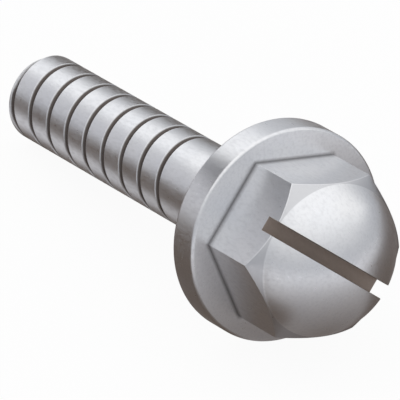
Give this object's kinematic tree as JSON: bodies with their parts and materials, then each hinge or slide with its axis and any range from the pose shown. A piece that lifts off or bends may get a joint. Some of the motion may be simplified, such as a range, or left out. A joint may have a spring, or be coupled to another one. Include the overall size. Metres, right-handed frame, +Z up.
{
  "type": "panel screw",
  "caption": "Hexagon washer head screw with a slotted dome, a round flange, a plain neck and a coarse right-hand thread, for fastening a panel with a wrench or a flat driver.",
  "frame": {"origin": "on the ground, under the middle of the lying screw's bounding box", "axes": "+X towards the head along the ground, +Z up, the screw's own axis rising 9.17 degrees towards the head"},
  "size_m": [0.0396, 0.0154, 0.0156],
  "materials": {
    "plated_steel": "satin bright plating, darker in the thread groove and the slot"
  },
  "bodies": {
    "root": {"panel_screw": "plated_steel"}
  },
  "joints": []
}
